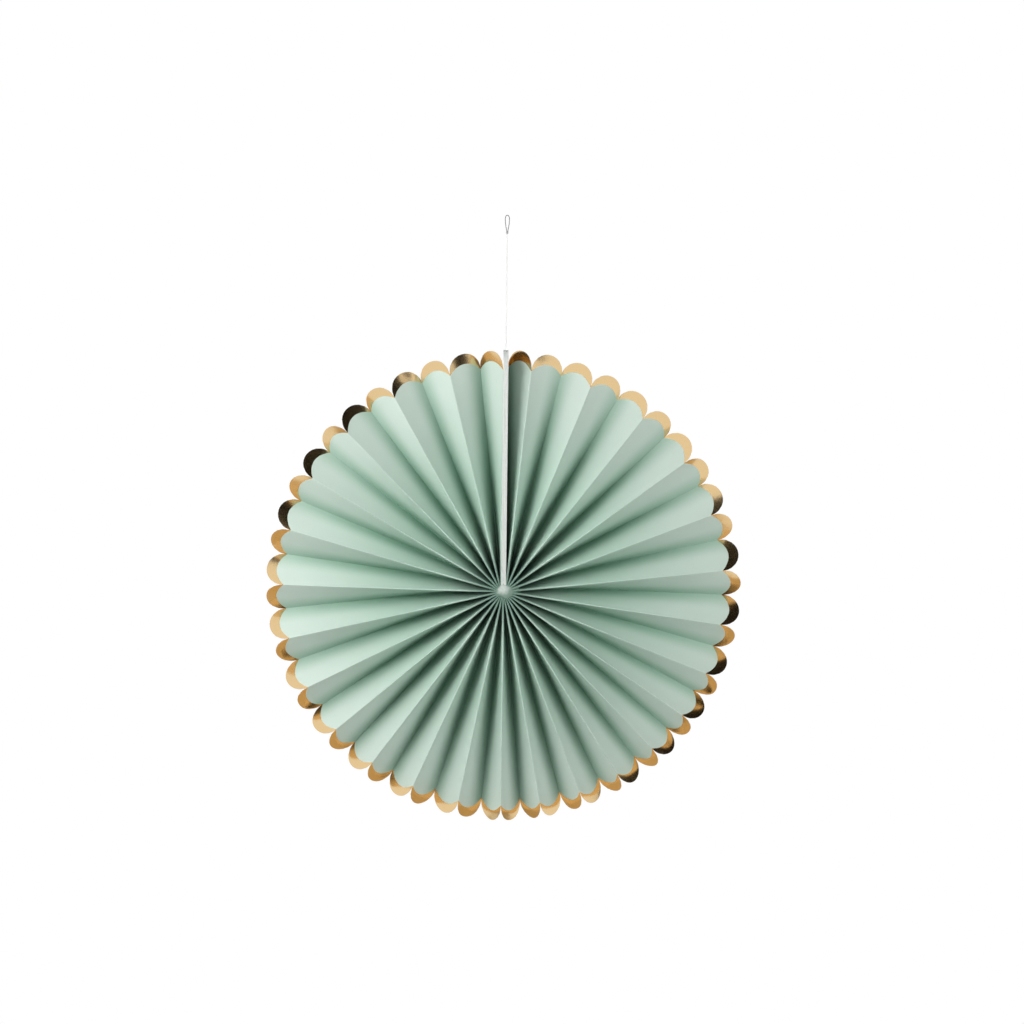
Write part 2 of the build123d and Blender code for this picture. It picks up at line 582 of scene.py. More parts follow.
@dataclass(frozen=True)
class PrintedPaper(SagePaper):
    """The strip's printed side, with a crescent of gold foil along each scallop.

    The foil's widths, waver and edge are in millimetres.
    """

    gold: Colour = (0.78, 0.57, 0.30, 1)
    foil_tip_width: float = 6.5
    foil_cusp_width: float = 1.0
    foil_roughness: float = 0.17
    foil_waver: float = 0.3
    waver_scale: float = 0.5
    foil_edge: float = 0.06

    def make(self) -> bpy.types.Material:
        """Build the material.

        Returns:
            The material.
        """
        graph = Graph("printed_paper")
        strip = FlatPlaces(graph, self.plan)
        bare = self.sheet(graph, strip, PaperFace.FRONT)
        foil = self.foil(graph, strip)
        paper = graph.math("SUBTRACT", 1.0, foil)
        rough = graph.math("MULTIPLY", paper, bare["Roughness"])
        rough = graph.math("MULTIPLY_ADD", foil, self.foil_roughness, rough)
        colour = graph.mix(foil, bare["Base Color"], self.gold)
        return graph.surface(bare | {"Base Color": colour, "Metallic": foil, "Roughness": rough})

    def foil(self, graph: Graph, strip: FlatPlaces) -> bpy.types.NodeSocket:
        """The crescent, with a crisp and slightly wavering edge.

        Args:
            graph: The material's nodes.
            strip: The places on the flat strip.

        Returns:
            Its mask, 1 on the foil.
        """
        cusp = MILLIMETRES * self.plan.straight_height
        tip = MILLIMETRES * self.plan.scallop_height - self.foil_tip_width
        dome = graph.math("SUBTRACT", 1.0, graph.math("MULTIPLY", strip.aside, strip.aside))
        edge = graph.math("MULTIPLY_ADD", dome, tip + self.foil_cusp_width, cusp - self.foil_cusp_width)
        waver = graph.noise(strip.millimetres, self.waver_scale, 1.0)
        waver = graph.math("MULTIPLY_ADD", waver, self.foil_waver, -self.foil_waver / 2)
        above = graph.math("SUBTRACT", graph.math("ADD", strip.height, waver), edge)
        return graph.ramp(above, -self.foil_edge, self.foil_edge)


@dataclass(frozen=True)
class PlainPaper:
    """Paper or card of one colour, with fibres."""

    name: str
    colour: Colour
    roughness: float = 0.8
    roughness_spread: float = 0.07
    fibre_scale: float = 1600.0
    cloud_scale: float = 30.0
    darkening: float = 0.86

    def make(self) -> bpy.types.Material:
        """Build the material.

        Returns:
            The material.
        """
        graph = Graph(self.name)
        place = graph.place()
        fibre = graph.noise(place, self.fibre_scale, 4.0)
        cloud = graph.noise(place, self.cloud_scale, 2.0)
        darker = tuple(self.darkening * value for value in self.colour[:3]) + (1,)
        colour = graph.mix(graph.ramp(fibre, 0.3, 0.75, 0.0, 0.5), self.colour, darker)
        colour = graph.mix(graph.ramp(cloud, 0.3, 0.7, 0.0, 0.25), colour, darker)
        smoothest, roughest = self.roughness - self.roughness_spread, self.roughness + self.roughness_spread
        rough = graph.ramp(fibre, 0.2, 0.8, smoothest, roughest)
        normal = graph.bump(fibre, 0.15, 0.00003)
        return graph.surface({"Base Color": colour, "Roughness": rough, "Normal": normal})


@dataclass(frozen=True)
class HubGlue:
    """Dried glue in the hub, thick and pale at the foot of the seam, and thin and dark with painted shade at
    its edge.
    """

    plan: FoldPlan
    thick: Colour = (0.48, 0.54, 0.50, 1)
    # painted shade: dark green at the glue's edge, like the paper's painted hub shade
    painted_edge_shade: Colour = (0.18, 0.265, 0.215, 1)
    foot: tuple[float, float] = (-0.0004, 0.0012)
    edge: Span = (0.0030, 0.0074)
    edge_waver: float = 0.004
    lump_scale: float = 500.0

    def make(self) -> bpy.types.Material:
        """Build the material.

        Returns:
            The material.
        """
        graph = Graph("hub_glue")
        place = graph.place()
        aside, above = self.foot
        shift = (-aside, 0, -self.plan.hub_height - above)
        level = graph.node("Mapping", {"Vector": place, "Location": shift}).outputs["Vector"]
        flat = graph.node("VectorMath", {0: level, 1: (1, 0, 1)}, operation="MULTIPLY").outputs[0]
        away = graph.node("VectorMath", {0: flat}, operation="LENGTH").outputs["Value"]
        lumps = graph.noise(place, self.lump_scale, 3.0)
        reach = graph.math("MULTIPLY_ADD", lumps, self.edge_waver, away)
        # painted shade: darker towards the glue's edge
        colour = graph.mix(graph.ramp(reach, *self.edge), self.thick, self.painted_edge_shade)
        rough = graph.ramp(lumps, 0.3, 0.7, 0.6, 0.8)
        normal = graph.bump(lumps, 0.3, 0.0003)
        return graph.surface({"Base Color": colour, "Roughness": rough, "Normal": normal})


@dataclass(frozen=True)
class Film:
    """Milky adhesive tape."""

    colour: Colour = (0.80, 0.80, 0.76, 1)
    cloudy: Colour = (0.68, 0.67, 0.62, 1)
    cloud_scale: float = 120.0

    def make(self) -> bpy.types.Material:
        """Build the material.

        Returns:
            The material.
        """
        graph = Graph("milky_tape")
        cloud = graph.noise(graph.place(), self.cloud_scale, 3.0)
        colour = graph.mix(graph.ramp(cloud, 0.35, 0.7, 0.0, 0.4), self.colour, self.cloudy)
        rough = graph.ramp(cloud, 0.3, 0.7, 0.35, 0.5)
        normal = graph.bump(cloud, 0.2, 0.0001)
        return graph.surface({"Base Color": colour, "Roughness": rough, "Normal": normal})


@dataclass(frozen=True)
class SpunThread:
    """White spun thread, with fine hairs of fibre along its plies, and painted dark grey shade on the knot
    and loop.
    """

    colour: Colour = (0.84, 0.84, 0.82, 1)
    shaded: Colour = (0.72, 0.72, 0.70, 1)
    # painted shade: dark grey on the knot and loop, above a height
    painted_loop_shade: Colour = (0.20, 0.20, 0.20, 1)
    loop_shade_span: Span = (-0.0125, -0.0095)
    fibre_scale: tuple[float, float, float] = (6000, 6000, 1500)
    roughness: float = 0.85
    sheen: float = 0.2

    def make(self) -> bpy.types.Material:
        """Build the material.

        Returns:
            The material.
        """
        graph = Graph("spun_thread")
        place = graph.place()
        stretched = graph.node("Mapping", {"Vector": place, "Scale": self.fibre_scale}).outputs["Vector"]
        fibre = graph.noise(stretched, 1.0, 3.0)
        colour = graph.mix(graph.ramp(fibre, 0.3, 0.7, 0.0, 0.6), self.colour, self.shaded)
        height = graph.node("SeparateXYZ", {"Vector": place}).outputs["Z"]
        # painted shade: darker on the knot and loop above a height
        colour = graph.mix(graph.ramp(height, *self.loop_shade_span), colour, self.painted_loop_shade)
        normal = graph.bump(fibre, 0.3, 0.00003)
        look = {"Base Color": colour, "Roughness": self.roughness, "Normal": normal}
        return graph.surface(look | {"Sheen Weight": self.sheen})


# Pieces


@dataclass
class PleatedStrip:
    """The folded strip: a flat grid, folded into the circle and given its thickness."""

    plan: FoldPlan
    fold_steps: tuple[float, ...] = (0.00012, 0.0003, 0.00055, 0.0009, 0.0014)
    middle_steps: int = 9
    rows: int = 40
    row_crowding: float = 1.2
    hub_fold: float = 0.0005
    rim_fold: float = 0.00016
    fold_taper: Span = (0.02, 0.08)
    fold_room: float = 0.00017
    bow: float = 0.0005
    tip_curl: float = 0.0009
    tip_wave: float = 0.0004
    curl_start: float = 0.128
    seed: int = 11
    core_colour: Colour = (0.80, 0.80, 0.76, 1)
    back_roughness: float = 0.6
    area_steps: int = 200

    def build(self) -> bpy.types.Object:
        """Model the strip.

        Returns:
            The strip.
        """
        deselect_all()
        bpy.ops.mesh.primitive_grid_add(
            x_subdivisions=len(self.shares()) * self.plan.panels, y_subdivisions=self.rows, size=1.0
        )
        strip = bpy.context.object
        strip.name = strip.data.name = "folded_strip"
        self.fold(strip.data)
        paper = strip.modifiers.new("paper", "SOLIDIFY")
        paper.thickness = self.plan.paper_thickness
        paper.offset = 0
        paper.material_offset = PaperFace.BACK.value
        paper.material_offset_rim = PaperFace.CUT_EDGE.value
        core = PlainPaper("paper_core", self.core_colour).make()
        back = SagePaper(self.plan, roughness=self.back_roughness).make()
        dress(strip, PrintedPaper(self.plan).make(), back, core)
        apply_modifier(strip, paper)
        smooth_by_angle(strip, 60)
        return strip

    def shares(self) -> list[float]:
        """The places of the grid columns across one panel, close together beside its folds.

        Returns:
            Shares of the panel's width, from 0 to just below 1.
        """
        near = [step / self.plan.panel_width for step in self.fold_steps]
        inner = [float(share) for share in np.linspace(near[-1], 1 - near[-1], self.middle_steps + 1)]
        return [0.0, *near[:-1], *inner, *(1 - share for share in reversed(near[:-1]))]

    def places(self) -> list[tuple[int, float]]:
        """The panel of each grid column, and the share of its width where the column is."""
        inner = [(panel, share) for panel in range(self.plan.panels) for share in self.shares()]
        return inner + [(self.plan.panels - 1, 1.0)]

    def fold(self, mesh: bpy.types.Mesh) -> None:
        """Move the flat grid's points to the folded form, and lay its UV map out on the flat strip.

        Args:
            mesh: The grid, one metre square.
        """
        flat = np.empty(3 * len(mesh.vertices))
        mesh.vertices.foreach_get("co", flat)
        flat = flat.reshape(-1, 3)
        places = self.places()
        column = np.rint((flat[:, 0] + 0.5) * (len(places) - 1)).astype(int)
        row = np.rint((flat[:, 1] + 0.5) * self.rows).astype(int)
        points, heights = self.folded_columns(places)
        mesh.vertices.foreach_set("co", points[column, row].ravel())
        corner = np.empty(len(mesh.loops), int)
        mesh.loops.foreach_get("vertex_index", corner)
        across = np.array([panel + share for panel, share in places]) / self.plan.panels
        flat_map = np.stack([across[column], heights[column, row]], axis=1)
        mesh.uv_layers[0].data.foreach_set("uv", flat_map[corner].ravel())
        mesh.update()

    def folded_columns(self, places: list[tuple[int, float]]) -> tuple[np.ndarray, np.ndarray]:
        """Fold every column.

        Args:
            places: The panel of each column, and its share of the panel's width.

        Returns:
            Points by column and row, and their heights on the flat strip from 0 at the hub to 1 at the tips.
        """
        plan = self.plan
        dice = random.Random(self.seed)
        shapes = [tuple(dice.uniform(-1, 1) for _ in range(3)) for _ in range(plan.panels)]
        steps = (np.arange(self.rows + 1) / self.rows) ** self.row_crowding
        points, heights = [], []
        for panel, share in places:
            reach = plan.straight_height + plan.scallop(share)
            radius = plan.hub_radius + reach * steps
            first, last = plan.fold_line(panel, radius), plan.fold_line(panel + 1, radius)
            if 0 < panel < plan.panels - 1:
                uneven = self.unevenness(share, radius, last - first, (first + last) / 2, shapes[panel])
                points.append(self.rounded(share, radius, first, last) + uneven)
            else:
                points.append(first + (last - first) * share)
            heights.append((radius - plan.hub_radius) / plan.strip_height)
        return np.array(points), np.array(heights)

    def rounded(self, share: float, radius: np.ndarray, first: np.ndarray, last: np.ndarray) -> np.ndarray:
        """Points of an open panel, which leaves each of its folds on a small round.

        Args:
            share: The place across the panel.
            radius: The distances of the points from the hub.
            first: The points of its first fold line.
            last: The points of its last fold line.

        Returns:
            One point for each point of the fold lines.
        """
        sideways = (last - first) * np.array([1, 0, 1])
        width = np.linalg.norm(sideways, axis=1)
        depth = np.abs(last[:, 1] - first[:, 1])
        bend = np.interp(radius, self.fold_taper, (self.hub_fold, self.rim_fold))
        bend = np.clip(width - self.fold_room, 1e-6, bend)
        straight = np.sqrt(width**2 + (depth - 2 * bend) ** 2 - 4 * bend**2)
        turn = np.arctan2(depth - 2 * bend, width) + np.arctan2(2 * bend, straight)
        away = min(share, 1 - share) * (2 * bend * turn + straight)
        arc = np.minimum(away / bend, turn)
        beyond = np.maximum(away - bend * turn, 0)
        aside = (bend * np.sin(arc) + beyond * np.cos(turn)) / width
        down = (bend * (1 - np.cos(arc)) + beyond * np.sin(turn)) / depth
        if share > 0.5:
            aside, down = 1 - aside, 1 - down
        points = first + sideways * aside[:, None]
        points[:, 1] += (last[:, 1] - first[:, 1]) * down
        return points

    def unevenness(
        self,
        share: float,
        radius: np.ndarray,
        along: np.ndarray,
        middle: np.ndarray,
        shape: tuple[float, ...],
    ) -> np.ndarray:
        """How far a hand-folded panel bows and its tip curls.

        Args:
            share: The place across the panel.
            radius: The distances of the points from the hub.
            along: From the panel's first fold line to its last.
            middle: The points halfway between its fold lines.
            shape: Its bow, the curl of its tip and the wave of its tip, each from -1 to 1.

        Returns:
            One offset for each radius.
        """
        outward = (middle - np.array([0, 0, self.plan.hub_height])) * np.array([1, 0, 1])
        normal = np.cross(along, outward)
        normal /= np.linalg.norm(normal, axis=1)[:, None]
        dome, wave = 4 * share * (1 - share), math.sin(2 * math.pi * share)
        spread = np.clip(radius / self.plan.fan_radius, 0, 1) ** 2
        tip = np.clip((radius - self.curl_start) / (self.plan.fan_radius - self.curl_start), 0, 1) ** 2
        bow, curl, twist = shape
        bowed = dome * (self.bow * bow * spread + self.tip_curl * curl * tip)
        waved = wave * self.tip_wave * twist * tip
        return normal * (bowed + waved)[:, None]

    def flat_area(self) -> float:
        """The area of the strip as it was cut.

        Returns:
            Square metres.
        """
        plan = self.plan
        steps = [(step + 0.5) / self.area_steps for step in range(self.area_steps)]
        scallop = float(np.mean([plan.scallop(share) for share in steps]))
        return plan.panels * plan.panel_width * (plan.straight_height + scallop)


@dataclass
class EndCard:
    """A stiff card with a panel's outline, which one end of the strip is glued to."""

    plan: FoldPlan
    side: Side
    arc_steps: int = 12
    edge_round: float = 0.00015

    def build(self, material: bpy.types.Material) -> bpy.types.Object:
        """Model the card.

        Args:
            material: Its finish.

        Returns:
            The card.
        """
        plan = self.plan
        bottom = plan.hub_height + plan.hub_radius
        middle = (self.side.value * plan.card_middle, 0, bottom + plan.straight_height / 2)
        deselect_all()
        bpy.ops.mesh.primitive_cube_add(size=1.0, location=middle)
        card = bpy.context.object
        card.name = card.data.name = f"stiff_card_{self.side.name.lower()}"
        card.scale = (plan.card_thickness, plan.panel_width, plan.straight_height)
        bpy.ops.object.transform_apply(location=True, rotation=True, scale=True)
        self.round_end(card, bottom + plan.straight_height)
        soften = card.modifiers.new("soft_edges", "BEVEL")
        soften.width = self.edge_round
        soften.segments = 2
        soften.limit_method = "ANGLE"
        soften.angle_limit = math.radians(50)
        apply_modifier(card, soften)
        smooth_by_angle(card, 40)
        dress(card, material)
        return card

    def round_end(self, card: bpy.types.Object, cusp: float) -> None:
        """Draw the card's upper end out into the scallop.

        Args:
            card: The card, still a plain block.
            cusp: The height where the scallop starts.
        """
        activate(card)
        bpy.ops.object.mode_set(mode="EDIT")
        bpy.ops.mesh.select_mode(type="FACE")
        bpy.ops.mesh.select_all(action="DESELECT")
        bpy.ops.object.mode_set(mode="OBJECT")
        for face in card.data.polygons:
            face.select = face.normal.z > 0.9
        bpy.ops.object.mode_set(mode="EDIT")
        curve = self.plan.scallop_curve
        middle = self.plan.scallop_height - curve
        start = math.asin(-middle / curve)
        height, width = 0.0, self.plan.half_width
        for step in range(1, self.arc_steps + 1):
            angle = start + (math.pi / 2 - start) * step / self.arc_steps
            new_height, new_width = middle + curve * math.sin(angle), curve * math.cos(angle)
            bpy.ops.mesh.extrude_region_move(TRANSFORM_OT_translate={"value": (0, 0, new_height - height)})
            bpy.ops.transform.resize(
                value=(1, new_width / width, 1), center_override=(0, 0, cusp + new_height)
            )
            height, width = new_height, max(new_width, 1e-9)
        bpy.ops.mesh.select_all(action="SELECT")
        bpy.ops.mesh.remove_doubles(threshold=1e-6)
        bpy.ops.mesh.normals_make_consistent(inside=False)
        bpy.ops.object.mode_set(mode="OBJECT")


@dataclass
class TwistedThread:
    """A thread of two plies twisted together along a line.

    The offset of a ply is the distance of its middle from the line, as a share of the thread's radius.
    """

    name: str
    diameter: float = 0.0006
    twist_length: float = 0.0018
    spacing: float = 0.0002
    plies: int = 2
    ply_offset: float = 0.45

    def build(
        self, line: np.ndarray, material: bpy.types.Material, closed: bool = False
    ) -> bpy.types.Object:
        """Model the thread.

        Args:
            line: The points that it follows.
            material: Its finish.
            closed: Whether its ends meet.

        Returns:
            One mesh of all its plies.
        """
        points = self.spaced(line)
        if closed:
            points = points[:-1]
        made = [self.ply(points, index, closed) for index in range(self.plies)]
        deselect_all()
        for ply in made:
            ply.select_set(True)
        bpy.context.view_layer.objects.active = made[0]
        bpy.ops.object.convert(target="MESH")
        bpy.ops.object.join()
        thread = bpy.context.object
        thread.name = thread.data.name = self.name
        smooth_by_angle(thread, 60)
        dress(thread, material)
        return thread

    def spaced(self, line: np.ndarray) -> np.ndarray:
        """Space a line's points evenly.

        Args:
            line: The line's points.

        Returns:
            Points along the line again.
        """
        lengths = np.concatenate([[0], np.cumsum(np.linalg.norm(np.diff(line, axis=0), axis=1))])
        count = max(8, round(lengths[-1] / self.spacing))
        stations = np.linspace(0, lengths[-1], count + 1)
        return np.stack([np.interp(stations, lengths, line[:, axis]) for axis in range(3)], axis=1)

    def ply(self, points: np.ndarray, index: int, closed: bool) -> bpy.types.Object:
        """Lay one ply round the line.

        Args:
            points: The line's points.
            index: The ply's number.
            closed: Whether its ends meet.

        Returns:
            A round curve.
        """
        reach = self.ply_offset * self.diameter / 2
        turns = round(len(points) * self.spacing / self.twist_length)
        places, across = [], None
        for station, point in enumerate(points):
            ahead = points[(station + 1) % len(points)] if closed or station + 1 < len(points) else point
            behind = points[station - 1] if closed or station else point
            tangent = Vector(ahead - behind).normalized()
            if across is None:
                across = tangent.orthogonal().normalized()
            across = (across - tangent * across.dot(tangent)).normalized()
            angle = 2 * math.pi * (turns * station / len(points) + index / self.plies)
            places.append(Vector(point) + Quaternion(tangent, angle) @ across * reach)
        curve = new_curve(f"{self.name}_ply")
        curve.bevel_depth = self.diameter / 2 - reach
        curve.bevel_resolution = 1
        curve.use_fill_caps = not closed
        add_spline(curve, "POLY", places).use_cyclic_u = closed
        return carry(curve)


@dataclass
class HangingThread:
    """The thread that the fan hangs from, with its knot and loop.

    The knot's lead and reach are in diameters of the thread.
    """

    hang_length: float
    diameter: float = 0.0006
    grip: float = 0.022
    loop_length: float = 0.010
    loop_radius: float = 0.0013
    knot_length: float = 0.002
    knot_turns: float = 3.0
    knot_lead: float = 6.0
    knot_reach: float = 0.82
    knot_ends: Span = (0.04, 0.96)
    knot_taper: float = 0.25
    knot_points: int = 90
    length: float = 0.118

    @property
    def knot_top(self) -> float:
        """The height where the loop starts."""
        return self.diameter / 2 - self.loop_length

    def build(self, material: bpy.types.Material) -> tuple[bpy.types.Object, bpy.types.Object]:
        """Args:
            material: Their finish.

        Returns:
            The thread and the knot.
        """
        line = smooth_route("thread_route", self.route())
        twisted = TwistedThread("hanging_cord", self.diameter)
        cord = twisted.build(line, material)
        knot = TwistedThread("loop_knot", self.diameter).build(self.knot_line(), material)
        return cord, knot

    def route(self) -> list[Vector]:
        """The thread's control points: up from its grip, through the knot and round the loop.

        Returns:
            The points in order.
        """
        knot_top = self.knot_top
        knot_foot = knot_top - self.knot_length
        top = radius = self.diameter / 2
        side = self.loop_radius
        return [
            Vector((0, 0, -self.hang_length - self.grip)),
            Vector((0, 0, -self.hang_length)),
            Vector((0, 0, knot_foot - self.knot_lead * self.diameter)),
            Vector((0, 0, knot_foot)),
            Vector((-radius, 0, knot_top)),
            Vector((-side, 0, knot_top + self.loop_length / 2)),
            Vector((-side, 0, top)),
            Vector((side, 0, top)),
            Vector((side, 0, knot_top + self.loop_length / 2)),
            Vector((radius, 0, knot_top)),
            Vector((radius, 0, knot_foot + self.knot_length / 2)),
        ]

    def knot_line(self) -> np.ndarray:
        """The turns of thread that the knot shows.

        Returns:
            Points along them.
        """
        foot = self.knot_top - self.knot_length
        steps = np.linspace(0, 1, self.knot_points)
        angle = 2 * math.pi * self.knot_turns * steps
        swell = np.sin(math.pi * np.clip(steps, *self.knot_ends)) ** self.knot_taper
        reach = self.knot_reach * self.diameter * swell
        rise = foot + self.diameter / 2 + (self.knot_length - self.diameter) * steps
        return np.stack([reach * np.cos(angle), reach * np.sin(angle), rise], axis=1)


@dataclass
class HubTie:
    """The binding thread: a ring through every panel and both cards."""

    plan: FoldPlan
    radius: float = 0.006
    steps: int = 180

    def build(self, material: bpy.types.Material) -> bpy.types.Object:
        """Model the ring.

        Args:
            material: Its finish.

        Returns:
            The ring.
        """
        angle = np.linspace(0, 2 * math.pi, self.steps + 1)
        aside, above = self.radius * np.sin(angle), self.radius * np.cos(angle)
        line = np.stack([aside, 0 * angle, self.plan.hub_height + above], axis=1)
        return TwistedThread("binding_thread").build(line, material, closed=True)


@dataclass
class SeamGlue:
    """Dried glue: a bead along the gap between the cards, and a dab in the hub."""

    plan: FoldPlan
    bead_share: float = 0.52
    inset: float = 0.0004
    straight_steps: int = 12
    arc_steps: int = 24
    thread_room: float = 0.0009
    dab_place: tuple[float, float] = (0.0008, -0.0006)
    dab_reach: tuple[float, float, float] = (0.0100, 0.0120, 0.0078)
    dab_fullness: float = 0.7
    dab_segments: int = 64
    dab_rings: int = 40
    lump: float = 0.0006
    lump_scale: float = 260.0

    def bead(self, material: bpy.types.Material) -> bpy.types.Object:
        """Model the bead, in front of the hanging thread and behind it.

        Args:
            material: Its finish.

        Returns:
            The bead.
        """
        curve = new_curve("seam_bead")
        curve.bevel_depth = self.bead_share * self.plan.tape_thickness
        curve.bevel_resolution = 2
        curve.use_fill_caps = True
        for side in (-1, 1):
            add_spline(curve, "POLY", self.outline(side))
        activate(carry(curve))
        bpy.ops.object.convert(target="MESH")
        bead = bpy.context.object
        bead.name = bead.data.name = "seam_bead"
        smooth_by_angle(bead, 50)
        dress(bead, material)
        return bead

    def outline(self, side: int) -> list[Vector]:
        """The cards' outline on one side of the thread, slightly inset.

        Args:
            side: -1 in front of the thread, and 1 behind it.

        Returns:
            Points from the hub to the tip.
        """
        plan = self.plan
        middle = plan.hub_height + plan.fan_radius - plan.scallop_curve
        reach = plan.scallop_curve - self.inset
        edge = plan.half_width - self.inset
        start, end = math.acos(edge / reach), math.acos(self.thread_room / reach)
        foot = plan.hub_height + plan.hub_radius + 2 * self.inset
        rise = (middle + reach * math.sin(start) - foot) / self.straight_steps
        straight = [Vector((0, side * edge, foot + rise * step)) for step in range(self.straight_steps)]
        turns = [start + (end - start) * step / self.arc_steps for step in range(self.arc_steps + 1)]
        arc = [Vector((0, side * reach * math.cos(turn), middle + reach * math.sin(turn))) for turn in turns]
        return straight + arc

    def dab(self, material: bpy.types.Material) -> bpy.types.Object:
        """Model the lumpy dab that holds the strip's gathered inner edge.

        Args:
            material: Its finish.

        Returns:
            The dab.
        """
        deselect_all()
        bpy.ops.mesh.primitive_uv_sphere_add(
            segments=self.dab_segments, ring_count=self.dab_rings, radius=1.0
        )
        dab = bpy.context.object
        dab.name = dab.data.name = "hub_dab"
        dab.rotation_euler = (math.pi / 2, 0, 0)
        bpy.ops.object.transform_apply(location=True, rotation=True, scale=True)
        aside, above = self.dab_place
        middle = Vector((aside, 0, self.plan.hub_height + above))
        for vertex in dab.data.vertices:
            level = math.hypot(vertex.co.x, vertex.co.z)
            fuller = level ** (self.dab_fullness - 1) if level > 1e-6 else 0.0
            depth = math.copysign(abs(vertex.co.y) ** self.dab_fullness, vertex.co.y)
            form = Vector((vertex.co.x * fuller, depth, vertex.co.z * fuller)) * Vector(self.dab_reach)
            vertex.co = middle + form
        dab.data.update()
        for vertex in dab.data.vertices:
            vertex.co += vertex.normal * self.lump * noise.noise(vertex.co * self.lump_scale)
        smooth_by_angle(dab, 80)
        dress(dab, material)
        return dab


# Studio


@dataclass(frozen=True)
class Lamp:
    """A square lamp that faces the hub, and that the foil doesn't mirror.

    Its direction is in degrees right of the front and above the level.
    """

    name: str
    aside: float
    above: float
    size: float
    power: float
    distance: float = 1.1

    def hang(self, hub: Vector) -> None:
        """Add the lamp.

        Args:
            hub: The fan's middle.
        """
        turn, tilt = math.radians(self.aside), math.radians(self.above)
        level = math.cos(tilt)
        towards = Vector((math.sin(turn) * level, -math.cos(turn) * level, math.sin(tilt)))
        deselect_all()
        bpy.ops.object.light_add(type="AREA", location=hub + towards * self.distance)
        lamp = bpy.context.object
        lamp.name = self.name
        lamp.data.size = self.size
        lamp.data.energy = self.power
        lamp.rotation_mode = "QUATERNION"
        lamp.rotation_quaternion = (-towards).to_track_quat("-Z", "Y")
        lamp.visible_camera = lamp.visible_glossy = False


@dataclass(frozen=True)
class Card:
    """A flat card that only the foil mirrors.

    Its place is measured from the hub, and its turns are in degrees from lying flat.
    """

    name: str
    place: tuple[float, float, float]
    sides: tuple[float, float]
    turns: tuple[float, float, float] = (0, 0, 0)

    def stand(self, hub: Vector, material: bpy.types.Material) -> None:
        """Add the card to the stage.

        Args:
            hub: The fan's middle.
            material: The card's finish.
        """
        deselect_all()
        turned = tuple(math.radians(turn) for turn in self.turns)
        bpy.ops.mesh.primitive_plane_add(size=1.0, location=hub + Vector(self.place), rotation=turned)
        card = bpy.context.object
        card.name = self.name
        card.scale = (*self.sides, 1)
        bpy.ops.object.transform_apply(location=True, rotation=True, scale=True)
        card.visible_camera = card.visible_diffuse = card.visible_shadow = False
        dress(card, material)


